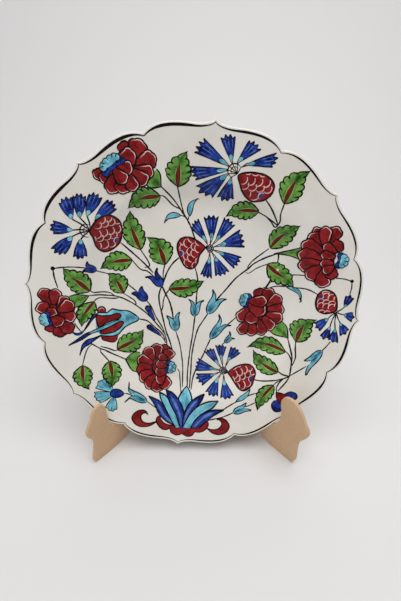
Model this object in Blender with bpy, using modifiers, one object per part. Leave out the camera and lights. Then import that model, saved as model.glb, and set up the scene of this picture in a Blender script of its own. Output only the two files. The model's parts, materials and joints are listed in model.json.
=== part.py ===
# A painted dish with an eight-lobed rim, leaning on a stand made of two halved boards.
# Lengths in metres, angles in degrees, +Z up, front of the dish towards -Y.
from math import cos, pi, radians, sin

import bmesh
import bpy
from mathutils import Matrix, Vector

# ---------------------------------------------------------------- driving dimensions
# dish
DISH_RADIUS = 0.150            # centre to the tip of a cusp
DISH_HEIGHT = 0.031            # table to the rim's top edge when the dish lies flat
WALL = 0.006                   # thickness of the clay
WELL_RADIUS = 0.084            # flat middle
WELL_FLOOR = 0.0110            # height of the flat middle's upper face
WELL_EDGE = 0.0116
SHOULDER_RADIUS = 0.108        # where the shoulder turns into the rim
SHOULDER_HEIGHT = 0.0225
RIM_SLOPE = 0.2                # rise of the rim per unit of radius
RIM_REACH = 0.156              # turned blank, trimmed to the lobed outline later
FOOT_OUTER = 0.0870            # foot ring
FOOT_INNER = 0.0800
FOOT_RECESS = 0.0048           # depth of the hollow inside the foot ring
LATHE_STEPS = 96

# outline of one half lobe: cusp pointing along +Y, notch at 22.5 degrees
LOBE_COUNT = 8
CUSP = (0.0, 0.150)
CUSP_HANDLE = (0.0020, 0.1472)
FLAT_IN = (0.0090, 0.1456)
FLAT = (0.0162, 0.1456)
FLAT_OUT = (0.0345, 0.1459)
NOTCH_HANDLE = (0.0475, 0.1434)
NOTCH = (0.0553, 0.1334)

# pose of the dish on the stand
LEAN = 14.0                    # back from upright
ROLL = -6.7                    # turned in its own plane
DISH_CENTRE_HEIGHT = 0.1535    # rim plane's centre above the table
DISH_SHIFT = 0.0012            # dish sits a little off the stand's middle

# stand
BOARD = 0.003                  # board thickness
BOARD_ANGLE = 40.0             # each board's angle to the front-back line
FOOT_SPREAD = 0.098            # half the distance between the front feet
FOOT_FRONT = -0.050            # front feet, measured from the dish centre
SLOT_PLAY = 0.0008             # total play of a board in the other one's slot
SLOT_HEIGHT = 0.0290           # where the two halving slots meet
SLOT_GAP = 0.0006              # play between the slots' blind ends
SLOT_REACH = 0.060             # cutter length, past the board's edge

# Outline of the boards: distance back from the foot's toe, height above the table.
# Front edges differ, because the boards were sawn by hand.
LEFT_FRONT = (
    (0.0010, 0.0035), (0.0014, 0.0100), (0.0034, 0.0170), (0.0046, 0.0240), (0.0042, 0.0300),
    (0.0018, 0.0345), (-0.0006, 0.0385), (-0.0008, 0.0430), (0.0022, 0.0495), (0.0064, 0.0560),
    (0.0092, 0.0615), (0.0128, 0.0655), (0.0175, 0.0660), (0.0215, 0.0625), (0.0232, 0.0560),
    (0.0236, 0.0480), (0.0240, 0.0414), (0.0248, 0.0368),
    (0.0266, 0.0328), (0.0300, 0.0308), (0.0338, 0.0297),      # notch under the rim
)
RIGHT_FRONT = (
    (0.0002, 0.0035), (-0.0010, 0.0110), (-0.0006, 0.0200), (-0.0008, 0.0280), (-0.0030, 0.0355),
    (-0.0066, 0.0415), (-0.0092, 0.0470), (-0.0088, 0.0530), (-0.0046, 0.0595), (-0.0002, 0.0665),
    (0.0048, 0.0720), (0.0104, 0.0750), (0.0170, 0.0750), (0.0225, 0.0705), (0.0238, 0.0635),
    (0.0222, 0.0550), (0.0222, 0.0460), (0.0236, 0.0394), (0.0254, 0.0352),
    (0.0277, 0.0320), (0.0307, 0.0298), (0.0338, 0.0278),
)
REST_AND_BACK = (
    (0.0392, 0.0306),
    (0.0450, 0.0400), (0.0540, 0.0535), (0.0620, 0.0625),      # under the dish's belly
    (0.0720, 0.0680), (0.0802, 0.0708), (0.0848, 0.0770),      # corner under the foot ring
    (0.0882, 0.0880), (0.0991, 0.1220), (0.1095, 0.1540),      # back rest
    (0.1132, 0.1635), (0.1195, 0.1650), (0.1232, 0.1590),      # rounded top
    (0.1270, 0.1300), (0.1340, 0.0980), (0.1465, 0.0720),      # back edge
    (0.1640, 0.0460), (0.1790, 0.0230), (0.1880, 0.0100), (0.1876, 0.0020),
)
# The feet dip a little below the table, and are then planed level.
UNDERSIDE = (
    (0.1850, -0.0002), (0.1770, -0.0006), (0.1680, 0.0002), (0.1540, 0.0026), (0.1000, 0.0032),
    (0.0460, 0.0026), (0.0250, 0.0003), (0.0130, -0.0006), (0.0050, 0.0002),
)

GLAZE_COLOUR = (0.80, 0.78, 0.74, 1.0)
BOARD_COLOUR = (0.48, 0.32, 0.19, 1.0)


def clear_scene():
    for item in list(bpy.data.objects):
        bpy.data.objects.remove(item)


def new_collection(name):
    collection = bpy.data.collections.new(name)
    bpy.context.scene.collection.children.link(collection)
    return collection


def new_material(name, colour, roughness, metallic=0.0):
    material = bpy.data.materials.new(name)
    material.use_nodes = True
    shader = material.node_tree.nodes["Principled BSDF"]
    shader.inputs["Base Color"].default_value = colour
    shader.inputs["Roughness"].default_value = roughness
    shader.inputs["Metallic"].default_value = metallic
    return material


def new_empty(name, collection, parent=None):
    empty = bpy.data.objects.new(name, None)
    empty.empty_display_size = 0.03
    collection.objects.link(empty)
    empty.parent = parent
    return empty


def outline_solid(name, points, knot_handles, depth, collection, resolution):
    """Flat closed outline, extruded to both sides and turned into one welded mesh."""
    curve = bpy.data.curves.new(name, "CURVE")
    curve.dimensions = "2D"
    curve.fill_mode = "BOTH"
    curve.extrude = depth / 2
    curve.resolution_u = resolution
    spline = curve.splines.new("BEZIER")
    spline.bezier_points.add(len(points) - 1)
    spline.use_cyclic_u = True
    for knot, point, handles in zip(spline.bezier_points, points, knot_handles):
        knot.co = (*point, 0.0)
        if handles is None:
            knot.handle_left_type = "AUTO"
            knot.handle_right_type = "AUTO"
            continue
        knot.handle_left_type = "FREE"
        knot.handle_right_type = "FREE"
        knot.handle_left = (*handles[0], 0.0)
        knot.handle_right = (*handles[1], 0.0)
    guide = bpy.data.objects.new(name + "_guide", curve)
    collection.objects.link(guide)
    bpy.context.view_layer.update()
    evaluated = guide.evaluated_get(bpy.context.evaluated_depsgraph_get())
    mesh = bpy.data.meshes.new_from_object(evaluated)
    mesh.name = name
    bpy.data.objects.remove(guide)
    work = bmesh.new()
    work.from_mesh(mesh)
    bmesh.ops.remove_doubles(work, verts=work.verts, dist=1e-6)
    bmesh.ops.recalc_face_normals(work, faces=work.faces)
    work.to_mesh(mesh)
    work.free()
    solid = bpy.data.objects.new(name, mesh)
    collection.objects.link(solid)
    return solid


def hide_cutter(cutter):
    cutter.hide_render = True
    cutter.display_type = "WIRE"


def cut(piece, cutter, operation):
    modifier = piece.modifiers.new(operation.title(), "BOOLEAN")
    modifier.operation = operation
    modifier.solver = "EXACT"
    modifier.object = cutter


# ---------------------------------------------------------------- dish
def upper_height(radius):
    """Height of the dish's upper face above the table when it lies flat."""
    if radius <= WELL_RADIUS:
        return WELL_FLOOR + (WELL_EDGE - WELL_FLOOR) * (radius / WELL_RADIUS) ** 2
    if radius >= SHOULDER_RADIUS:
        return SHOULDER_HEIGHT + RIM_SLOPE * (radius - SHOULDER_RADIUS)
    width = SHOULDER_RADIUS - WELL_RADIUS
    t = (radius - WELL_RADIUS) / width
    start_slope = 2 * (WELL_EDGE - WELL_FLOOR) / WELL_RADIUS * width
    end_slope = RIM_SLOPE * width
    return ((2 * t ** 3 - 3 * t ** 2 + 1) * WELL_EDGE + (t ** 3 - 2 * t ** 2 + t) * start_slope
            + (3 * t ** 2 - 2 * t ** 3) * SHOULDER_HEIGHT + (t ** 3 - t ** 2) * end_slope)


def dish_profile():
    """Section of the dish from the middle of its face, out, down and back underneath."""
    shoulder = [WELL_RADIUS + (SHOULDER_RADIUS - WELL_RADIUS) * i / 6 for i in range(7)]
    radii = [0.0, 0.045] + shoulder + [0.130, RIM_REACH]
    face = [(radius, upper_height(radius)) for radius in radii]
    under_radii = [RIM_REACH, 0.130] + [radius for radius in reversed(shoulder) if radius > 0.090]
    under = [(radius, upper_height(radius) - WALL) for radius in under_radii]
    foot = [(FOOT_OUTER + 0.0008, upper_height(FOOT_OUTER) - WALL - 0.0006), (FOOT_OUTER, 0.0),
            (FOOT_INNER, 0.0), (FOOT_INNER - 0.0008, FOOT_RECESS), (0.0, WELL_FLOOR - WALL)]
    return face + under + foot


def lobed_outline():
    """Bezier knots and handles around the whole rim, four knots to a lobe."""
    points = []
    handles = []
    for lobe in range(LOBE_COUNT):
        turn = Matrix.Rotation(2 * pi * lobe / LOBE_COUNT, 2)

        def place(point, side, turn=turn):
            return tuple(turn @ Vector((side * point[0], point[1])))

        # counter-clockwise: the half lobe on +X first, then the cusp, then the half on -X
        points += [place(NOTCH, 1), place(FLAT, 1), place(CUSP, 1), place(FLAT, -1)]
        handles += [
            (turn @ Matrix.Rotation(-2 * pi / LOBE_COUNT, 2) @ Vector((-NOTCH_HANDLE[0], NOTCH_HANDLE[1])),
             place(NOTCH_HANDLE, 1)),
            (place(FLAT_OUT, 1), place(FLAT_IN, 1)),
            (place(CUSP_HANDLE, 1), place(CUSP_HANDLE, -1)),
            (place(FLAT_IN, -1), place(FLAT_OUT, -1)),
        ]
    return points, handles


def build_dish(parts, cutters, parent):
    profile = dish_profile()
    mesh = bpy.data.meshes.new("plate")
    corners = [(radius, 0.0, height - DISH_HEIGHT) for radius, height in profile]
    edges = [(i, i + 1) for i in range(len(corners) - 1)]
    mesh.from_pydata(corners, edges, [])
    dish = bpy.data.objects.new("plate", mesh)
    parts.objects.link(dish)
    lathe = dish.modifiers.new("Lathe", "SCREW")
    lathe.axis = "Z"
    lathe.angle = 2 * pi
    lathe.steps = LATHE_STEPS
    lathe.render_steps = LATHE_STEPS
    lathe.use_merge_vertices = True
    lathe.merge_threshold = 0.0001
    points, handles = lobed_outline()
    trim = outline_solid("rim_outline", points, handles, 4 * DISH_HEIGHT, cutters, 4)
    hide_cutter(trim)
    cut(dish, trim, "INTERSECT")
    mesh.materials.append(new_material("white_glaze", GLAZE_COLOUR, 0.15))
    for piece in (dish, trim):
        piece.parent = parent
        piece.rotation_euler = (0.0, 0.0, radians(ROLL))
    return dish


# ---------------------------------------------------------------- stand
def block_cutter(name, size, middle, collection, parent):
    work = bmesh.new()
    bmesh.ops.create_cube(work, size=1.0)
    bmesh.ops.scale(work, verts=work.verts, vec=size)
    bmesh.ops.translate(work, verts=work.verts, vec=middle)
    mesh = bpy.data.meshes.new(name)
    work.to_mesh(mesh)
    work.free()
    cutter = bpy.data.objects.new(name, mesh)
    collection.objects.link(cutter)
    cutter.parent = parent
    hide_cutter(cutter)
    return cutter


def slot_cutter(name, low, high, collection, parent):
    """Block that saws the halving slot where the boards cross."""
    crossing = 2 * radians(BOARD_ANGLE)
    width = BOARD * (1 + cos(crossing)) / sin(crossing) + SLOT_PLAY
    back = FOOT_SPREAD / sin(radians(BOARD_ANGLE))
    return block_cutter(name, (width, high - low, 4 * BOARD), (back, (low + high) / 2, 0.0),
                        collection, parent)


def build_board(side_name, side, front, slot_span, sole, parts, cutters, parent):
    """One board: side is -1 for the left one and 1 for the right one."""
    points = front + REST_AND_BACK + UNDERSIDE
    board = outline_solid("stand_board_" + side_name, points, [None] * len(points), BOARD, parts, 4)
    cutter = slot_cutter("slot_" + side_name, *slot_span, cutters, parent)
    cut(board, sole, "DIFFERENCE")
    cut(board, cutter, "DIFFERENCE")
    board.data.materials.append(new_material("raw_board_" + side_name, BOARD_COLOUR, 0.75))
    heading = 90.0 + side * BOARD_ANGLE
    board.parent = parent
    for piece in (board, cutter):
        piece.location = (side * FOOT_SPREAD - DISH_SHIFT, FOOT_FRONT, 0.0)
        piece.rotation_euler = (radians(90.0), 0.0, radians(heading))
    return board


# ---------------------------------------------------------------- assembly
def centre_on_origin(base, pieces):
    """Move the whole object so that its box is centred over the origin."""
    bpy.context.view_layer.update()
    graph = bpy.context.evaluated_depsgraph_get()
    corners = []
    for piece in pieces:
        evaluated = piece.evaluated_get(graph)
        corners += [piece.matrix_world @ vertex.co for vertex in evaluated.data.vertices]
    for axis in (0, 1):
        values = [corner[axis] for corner in corners]
        base.location[axis] = -(min(values) + max(values)) / 2
    base.location[2] = -min(corner[2] for corner in corners)


def main():
    clear_scene()
    parts = new_collection("painted_dish_on_stand")
    cutters = new_collection("cutters")
    base = new_empty("assembly", parts)
    pose = new_empty("dish_pose", parts, base)
    pose.location = (0.0, 0.0, DISH_CENTRE_HEIGHT)
    pose.rotation_euler = (radians(90.0 - LEAN), 0.0, 0.0)
    dish = build_dish(parts, cutters, pose)
    sole = block_cutter("sole_plane", (0.4, 0.4, 0.02), (0.0, 0.0, -0.01), cutters, base)
    lower_half = (SLOT_HEIGHT - SLOT_REACH, SLOT_HEIGHT + SLOT_GAP / 2)
    upper_half = (SLOT_HEIGHT - SLOT_GAP / 2, SLOT_HEIGHT + SLOT_REACH)
    left = build_board("left", -1, LEFT_FRONT, lower_half, sole, parts, cutters, base)
    right = build_board("right", 1, RIGHT_FRONT, upper_half, sole, parts, cutters, base)
    centre_on_origin(base, (dish, left, right))


main()
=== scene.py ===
import json
from math import cos, degrees, hypot, pi, radians, sin

import bmesh
import bpy
import numpy as np
from mathutils import Matrix, Vector
from mathutils.geometry import interpolate_bezier


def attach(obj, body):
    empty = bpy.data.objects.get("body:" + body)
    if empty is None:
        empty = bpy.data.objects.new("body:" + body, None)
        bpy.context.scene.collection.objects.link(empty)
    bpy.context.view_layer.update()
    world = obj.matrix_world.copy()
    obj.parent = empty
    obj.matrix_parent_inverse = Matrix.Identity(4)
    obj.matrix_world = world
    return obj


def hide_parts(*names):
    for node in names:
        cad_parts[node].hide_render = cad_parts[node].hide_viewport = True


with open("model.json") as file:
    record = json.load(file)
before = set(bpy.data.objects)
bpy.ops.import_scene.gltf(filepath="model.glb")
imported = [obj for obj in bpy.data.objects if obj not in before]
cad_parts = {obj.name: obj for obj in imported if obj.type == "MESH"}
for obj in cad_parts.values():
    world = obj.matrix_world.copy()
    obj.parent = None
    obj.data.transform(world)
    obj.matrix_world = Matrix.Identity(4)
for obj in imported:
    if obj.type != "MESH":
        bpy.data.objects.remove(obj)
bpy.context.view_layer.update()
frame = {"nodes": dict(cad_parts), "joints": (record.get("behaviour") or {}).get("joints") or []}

mm = 0.001


# the plate's own frame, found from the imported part: x right, y up along the face, z out of the face
plateSize = {
    "deep": 31.0,              # foot ring to the rim's plane
    "wall": 6.0,
    "wellRadius": 84.0,
    "wellFloor": 11.0,
    "wellEdge": 11.6,
    "shoulderRadius": 108.0,
    "shoulderHeight": 22.5,
    "rimSlope": 0.2,
    "foot": ((87.8, 5.0), (87.2, 2.2), (87.0, 0.5), (86.5, 0.0), (80.5, 0.0), (80.0, 0.5), (79.2, 4.4),
             (78.6, 4.8), (55.0, 4.88), (28.0, 4.94), (0.0, 5.0)),  # foot ring and hollow: radius, height
    "roll": -6.7,              # the plate stands turned a little in its own plane
    "lip": 1.1,                # rounding of the rim's edge, outwards
    "lipDrop": 1.7,            # and downwards
    "backEdge": 89.0,          # where the back turns down to the foot ring
    "clayLine": 0.9,           # bare clay below this height
    "lobes": 8,
    "cusp": ((0.0, 150.0), (2.0, 147.2)),
    "flat": ((9.0, 145.6), (16.2, 145.6), (34.5, 145.9)),
    "notch": ((47.5, 143.4), (55.3, 133.4)),
}


def findPlateFrame():
    places = np.array([vertex.co for vertex in frame["nodes"]["plate"].data.vertices])
    liftJoint = next(joint for joint in frame["joints"] if joint["name"] == "plate_lift")
    up = Vector(liftJoint["axis"]).normalized()
    side = Vector((1, 0, 0))
    out = side.cross(up)
    middle = Vector((0, 0, 0))
    for axis in (side, up):
        reach = places @ np.array(axis)
        middle += axis * (reach.min() + reach.max()) / 2
    middle += out * ((places @ np.array(out)).min() + plateSize["deep"] * mm)
    turn = Matrix((side, up, out)).transposed().to_4x4()
    roll = Matrix.Rotation(radians(plateSize["roll"]), 4, "Z")
    return middle, Matrix.Translation(middle) @ turn @ roll @ Matrix.Scale(mm, 4)


plateMiddle, platePlace = findPlateFrame()
print("plate frame", [round(value, 5) for value in plateMiddle])


def deselectAll():
    if bpy.context.object and bpy.context.object.mode != "OBJECT":
        bpy.ops.object.mode_set(mode="OBJECT")
    bpy.ops.object.select_all(action="DESELECT")


def pickOnly(piece):
    deselectAll()
    piece.select_set(True)
    bpy.context.view_layer.objects.active = piece


def applyModifier(piece, kind, **values):
    pickOnly(piece)
    modifier = piece.modifiers.new(kind.title(), kind)
    for name, value in values.items():
        setattr(modifier, name, value)
    bpy.ops.object.modifier_apply(modifier=modifier.name)


def linearColour(red, green, blue):
    def channel(value):
        value /= 255
        return value / 12.92 if value <= 0.04045 else ((value + 0.055) / 1.055) ** 2.4

    return channel(red), channel(green), channel(blue), 1.0


# shader groups: each effect is built once and placed in every material that uses it
def newGroup(name, inputs, outputs):
    group = bpy.data.node_groups.new(name, "ShaderNodeTree")
    for label, kind, value in inputs:
        socket = group.interface.new_socket(label, in_out="INPUT", socket_type=kind)
        socket.default_value = value
    for label, kind in outputs:
        group.interface.new_socket(label, in_out="OUTPUT", socket_type=kind)
    entry = group.nodes.new("NodeGroupInput")
    leave = group.nodes.new("NodeGroupOutput")
    return group, entry.outputs, leave.inputs


def addMath(tree, operation, first, second=None, third=None):
    node = tree.nodes.new("ShaderNodeMath")
    node.operation = operation
    for socket, value in zip(node.inputs, (first, second, third)):
        if value is None:
            continue
        if isinstance(value, (int, float)):
            socket.default_value = value
        else:
            tree.links.new(value, socket)
    return node.outputs[0]


def addMix(tree, factor, first, second):
    node = tree.nodes.new("ShaderNodeMix")
    node.data_type = "RGBA"
    for socket, value in ((node.inputs[0], factor), (node.inputs[6], first), (node.inputs[7], second)):
        if isinstance(value, (int, float, tuple)):
            socket.default_value = value
        else:
            tree.links.new(value, socket)
    return node.outputs[2]


def addNoise(tree, vector, scale, detail=3.0, rough=0.5):
    node = tree.nodes.new("ShaderNodeTexNoise")
    tree.links.new(vector, node.inputs["Vector"])
    if isinstance(scale, (int, float)):
        node.inputs["Scale"].default_value = scale
    else:
        tree.links.new(scale, node.inputs["Scale"])
    node.inputs["Detail"].default_value = detail
    node.inputs["Roughness"].default_value = rough
    return node.outputs["Fac"]


def addRange(tree, value, low, high, newLow=0.0, newHigh=1.0):
    node = tree.nodes.new("ShaderNodeMapRange")
    node.interpolation_type = "SMOOTHSTEP"
    tree.links.new(value, node.inputs["Value"])
    for label, number in (("From Min", low), ("From Max", high), ("To Min", newLow), ("To Max", newHigh)):
        node.inputs[label].default_value = number
    return node.outputs["Result"]


def buildBrushWash():
    # ink laid with a loaded brush: pools dark, thins pale, follows the stroke's own UV
    group, given, result = newGroup("brushWash", (
        ("Deep", "NodeSocketColor", (0.1, 0.1, 0.1, 1)), ("Pale", "NodeSocketColor", (0.3, 0.3, 0.3, 1)),
        ("Pooling", "NodeSocketFloat", 0.5), ("Along", "NodeSocketFloat", 0.3),
        ("Across", "NodeSocketFloat", 0.3), ("Streaks", "NodeSocketFloat", 0.3),
    ), (("Colour", "NodeSocketColor"), ("Gloss", "NodeSocketFloat"), ("Height", "NodeSocketFloat")))
    coords = group.nodes.new("ShaderNodeTexCoord")
    split = group.nodes.new("ShaderNodeSeparateXYZ")
    group.links.new(coords.outputs["UV"], split.inputs[0])
    pool = addRange(group, addNoise(group, coords.outputs["Object"], 150.0, 2.0), 0.36, 0.64)
    fine = addRange(group, addNoise(group, coords.outputs["Object"], 700.0, 4.0, 0.6), 0.3, 0.7)
    sideways = addMath(group, "ABSOLUTE", addMath(group, "SUBTRACT", split.outputs[0], 0.5))
    sideways = addMath(group, "MULTIPLY", sideways, 2.0)
    parts = addMath(group, "MULTIPLY", pool, given["Pooling"])
    parts = addMath(group, "MULTIPLY_ADD", split.outputs[1], given["Along"], parts)
    parts = addMath(group, "MULTIPLY_ADD", sideways, given["Across"], parts)
    parts = addMath(group, "MULTIPLY_ADD", fine, given["Streaks"], parts)
    blend = addMath(group, "MINIMUM", addMath(group, "MAXIMUM", parts, 0.0), 1.0)
    group.links.new(addMix(group, blend, given["Deep"], given["Pale"]), result["Colour"])
    group.links.new(addRange(group, fine, 0.0, 1.0, 0.16, 0.24), result["Gloss"])
    group.links.new(addMath(group, "MULTIPLY_ADD", fine, 0.4, pool), result["Height"])
    return group


def buildGlazeSkin():
    # clear glaze over white slip: slow tints, fine pin specks and an uneven surface
    group, given, result = newGroup("glazeSkin", (
        ("Base", "NodeSocketColor", (0.8, 0.8, 0.8, 1)), ("Tint", "NodeSocketColor", (0.8, 0.8, 0.8, 1)),
        ("Speck", "NodeSocketColor", (0.3, 0.25, 0.2, 1)),
    ), (("Colour", "NodeSocketColor"), ("Gloss", "NodeSocketFloat"), ("Height", "NodeSocketFloat")))
    coords = group.nodes.new("ShaderNodeTexCoord").outputs["Object"]
    slow = addRange(group, addNoise(group, coords, 34.0, 3.0), 0.35, 0.65)
    pins = addRange(group, addNoise(group, coords, 900.0, 1.0), 0.79, 0.84, 0.0, 0.35)
    waves = addNoise(group, coords, 95.0, 2.0)
    tinted = addMix(group, slow, given["Base"], given["Tint"])
    group.links.new(addMix(group, pins, tinted, given["Speck"]), result["Colour"])
    group.links.new(addRange(group, slow, 0.0, 1.0, 0.13, 0.2), result["Gloss"])
    group.links.new(waves, result["Height"])
    return group


def buildSawnBoard():
    # pressed board: pale flecks, short fibres and a tone that drifts over the sheet
    group, given, result = newGroup("sawnBoard", (
        ("Base", "NodeSocketColor", (0.5, 0.35, 0.2, 1)), ("Dark", "NodeSocketColor", (0.3, 0.2, 0.1, 1)),
        ("Light", "NodeSocketColor", (0.6, 0.45, 0.3, 1)),
    ), (("Colour", "NodeSocketColor"), ("Gloss", "NodeSocketFloat"), ("Height", "NodeSocketFloat")))
    coords = group.nodes.new("ShaderNodeTexCoord").outputs["Object"]
    stretch = group.nodes.new("ShaderNodeMapping")
    stretch.inputs["Scale"].default_value = (1.0, 1.0, 0.28)
    group.links.new(coords, stretch.inputs["Vector"])
    drift = addRange(group, addNoise(group, coords, 22.0, 2.0), 0.3, 0.7, 0.0, 0.35)
    fibre = addRange(group, addNoise(group, stretch.outputs[0], 1500.0, 5.0, 0.65), 0.35, 0.7)
    fleck = addRange(group, addNoise(group, stretch.outputs[0], 2600.0, 2.0), 0.6, 0.72, 0.0, 0.5)
    toned = addMix(group, drift, given["Base"], given["Light"])
    toned = addMix(group, addMath(group, "MULTIPLY", fibre, 0.3), toned, given["Dark"])
    group.links.new(addMix(group, fleck, toned, given["Light"]), result["Colour"])
    group.links.new(addRange(group, fibre, 0.0, 1.0, 0.7, 0.85), result["Gloss"])
    group.links.new(fibre, result["Height"])
    return group


groups = {"wash": buildBrushWash(), "glaze": buildGlazeSkin(), "board": buildSawnBoard()}


def newMaterial(name, kind, coat, bump, values, specular=0.4):
    material = bpy.data.materials.new(name)
    material.use_nodes = True
    tree = material.node_tree
    shader = tree.nodes["Principled BSDF"]
    skin = tree.nodes.new("ShaderNodeGroup")
    skin.node_tree = groups[kind]
    for label, value in values.items():
        skin.inputs[label].default_value = value
    relief = tree.nodes.new("ShaderNodeBump")
    relief.inputs["Strength"].default_value = bump[0]
    relief.inputs["Distance"].default_value = bump[1]
    shader.inputs["Coat Weight"].default_value = coat
    shader.inputs["Coat Roughness"].default_value = 0.06
    shader.inputs["Specular IOR Level"].default_value = specular
    tree.links.new(skin.outputs["Colour"], shader.inputs["Base Color"])
    tree.links.new(skin.outputs["Gloss"], shader.inputs["Roughness"])
    tree.links.new(skin.outputs["Height"], relief.inputs["Height"])
    tree.links.new(relief.outputs["Normal"], shader.inputs["Normal"])
    return material


def inkMaterial(name, deep, pale, pooling=0.5, along=0.2, across=0.2, streaks=0.2):
    return newMaterial(name, "wash", 0.08, (0.12, 0.0004), {
        "Deep": linearColour(*deep), "Pale": linearColour(*pale), "Pooling": pooling,
        "Along": along, "Across": across, "Streaks": streaks}, specular=0.12)


materials = {
    "glaze": newMaterial("whiteGlaze", "glaze", 0.3, (0.1, 0.0006), {
        "Base": linearColour(235, 232, 225), "Tint": linearColour(231, 226, 217),
        "Speck": linearColour(150, 135, 120)}),
    "clay": newMaterial("bareClay", "board", 0.0, (0.3, 0.0002), {
        "Base": linearColour(214, 196, 176), "Dark": linearColour(190, 166, 142),
        "Light": linearColour(226, 212, 196)}),
    "board": newMaterial("sawnBoard", "board", 0.0, (0.35, 0.00015), {
        "Base": linearColour(213, 178, 142), "Dark": linearColour(172, 136, 100),
        "Light": linearColour(222, 190, 156)}),
}
print("materials ready")


# plate
def faceHeight(radius):
    size = plateSize
    radius = np.asarray(radius, float)
    width = size["shoulderRadius"] - size["wellRadius"]
    t = np.clip((radius - size["wellRadius"]) / width, 0, 1)
    startSlope = 2 * (size["wellEdge"] - size["wellFloor"]) / size["wellRadius"] * width
    endSlope = size["rimSlope"] * width
    well = size["wellFloor"] + (size["wellEdge"] - size["wellFloor"]) * (radius / size["wellRadius"]) ** 2
    rim = size["shoulderHeight"] + size["rimSlope"] * (radius - size["shoulderRadius"])
    shoulder = ((2 * t ** 3 - 3 * t ** 2 + 1) * size["wellEdge"] + (t ** 3 - 2 * t ** 2 + t) * startSlope
                + (3 * t ** 2 - 2 * t ** 3) * size["shoulderHeight"] + (t ** 3 - t ** 2) * endSlope)
    return np.where(radius < size["wellRadius"], well, np.where(radius > size["shoulderRadius"], rim,
                                                                shoulder))


def rimOutline(steps=13):
    # angles from +x and radii once around the lobed edge, a vertex on every cusp and notch
    start, startHandle = plateSize["cusp"]
    flatIn, flat, flatOut = plateSize["flat"]
    endHandle, end = plateSize["notch"]
    curve = interpolate_bezier(start, startHandle, flatIn, flat, steps)
    curve += interpolate_bezier(flat, flatOut, endHandle, end, steps)[1:]
    half = [(pi / 2 - np.arctan2(point[1], point[0]), hypot(*point)) for point in curve]
    half[-1] = (pi / plateSize["lobes"], half[-1][1])
    lobe = [(-angle, radius) for angle, radius in reversed(half)] + half[1:-1]
    ring = [(angle + 2 * pi * turn / plateSize["lobes"], radius)
            for turn in range(plateSize["lobes"]) for angle, radius in lobe]
    ring.append((ring[0][0] + 2 * pi, ring[0][1]))
    angles, radii = np.array(ring).T
    return pi / 2 + angles, radii


rimAngles, rimRadii = rimOutline()


def plateStations():
    # rows of the plate from the middle of its face, over the lip and back underneath;
    # each is a radius or a share of the way to the edge, an inset, and a height rule
    size = plateSize
    lip, drop, wall = size["lip"], size["lipDrop"], size["wall"]
    well, shoulder = size["wellRadius"], size["shoulderRadius"]
    rows = [(radius, None, 0, "face", 0) for radius in np.linspace(0, well, 13)[:-1]]
    rows += [(radius, None, 0, "face", 0) for radius in np.linspace(well, shoulder, 21)[:-1]]
    rows += [(None, share, lip, "face", 0) for share in np.linspace(0, 1, 14)[:-1]]
    for step in range(7):
        bend = step / 6 * pi / 2
        rows.append((None, 1, lip * (1 - sin(bend)), "face", drop * (1 - cos(bend))))
    for step in range(7):
        bend = step / 6 * pi / 2
        rows.append((None, 1, lip * (1 - cos(bend)), "face", wall - drop * (1 - sin(bend))))
    rows += [(None, share, lip, "face", wall) for share in np.linspace(1, 0, 10)[1:-1]]
    rows += [(radius, None, 0, "face", wall) for radius in np.linspace(shoulder, size["backEdge"], 13)]
    rows += [(radius, None, 0, "level", height) for radius, height in size["foot"]]
    return rows


def buildPlate():
    rows = plateStations()
    columns = len(rimAngles) - 1
    deselectAll()
    bpy.ops.mesh.primitive_grid_add(x_subdivisions=columns, y_subdivisions=len(rows) - 1, size=2)
    plate = bpy.context.object
    plate.name = plate.data.name = "glazed_plate"
    for vertex in plate.data.vertices:
        column = round((vertex.co.x + 1) / 2 * columns)
        radius, share, inset, rule, height = rows[round((vertex.co.y + 1) / 2 * (len(rows) - 1))]
        angle = rimAngles[column]
        edge = rimRadii[column] - inset
        if radius is None:
            start = plateSize["shoulderRadius"]
            radius = start + share * (edge - start)
        level = height if rule == "level" else float(faceHeight(radius)) - height
        vertex.co = (radius * cos(angle), radius * sin(angle), level - plateSize["deep"])
    pickOnly(plate)
    bpy.ops.object.mode_set(mode="EDIT")
    bpy.ops.mesh.select_all(action="SELECT")
    bpy.ops.mesh.remove_doubles(threshold=0.0005)
    bpy.ops.mesh.normals_make_consistent(inside=False)
    bpy.ops.object.mode_set(mode="OBJECT")
    plate.data.materials.append(materials["glaze"])
    plate.data.materials.append(materials["clay"])
    for face in plate.data.polygons:
        face.material_index = int(face.center.z < plateSize["clayLine"] - plateSize["deep"])
    bpy.ops.object.shade_smooth_by_angle(angle=radians(50))
    plate.data.transform(platePlace)
    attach(plate, "plate_body")
    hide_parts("plate")
    return plate


buildPlate()
print("plate built")


# boards of the stand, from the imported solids
boardFinish = {"bevel": 0.00035, "segments": 2, "merge": 0.00002}


def buildBoard(node, name, body):
    board = bpy.data.objects.new(name, frame["nodes"][node].data.copy())
    bpy.context.scene.collection.objects.link(board)
    board.data.materials.clear()
    board.data.materials.append(materials["board"])
    pickOnly(board)
    bpy.ops.object.mode_set(mode="EDIT")
    bpy.ops.mesh.select_all(action="SELECT")
    bpy.ops.mesh.remove_doubles(threshold=boardFinish["merge"])
    bpy.ops.mesh.dissolve_limited(angle_limit=radians(1))
    bpy.ops.object.mode_set(mode="OBJECT")
    applyModifier(board, "BEVEL", width=boardFinish["bevel"], segments=boardFinish["segments"],
                  limit_method="ANGLE", angle_limit=radians(45))
    bpy.ops.object.shade_smooth_by_angle(angle=radians(35))
    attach(board, body)
    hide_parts(node)
    return board


buildBoard("stand_board_left", "sawn_board_left", "stand_left")
buildBoard("stand_board_right", "sawn_board_right", "stand_right")
print("boards built")


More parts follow.
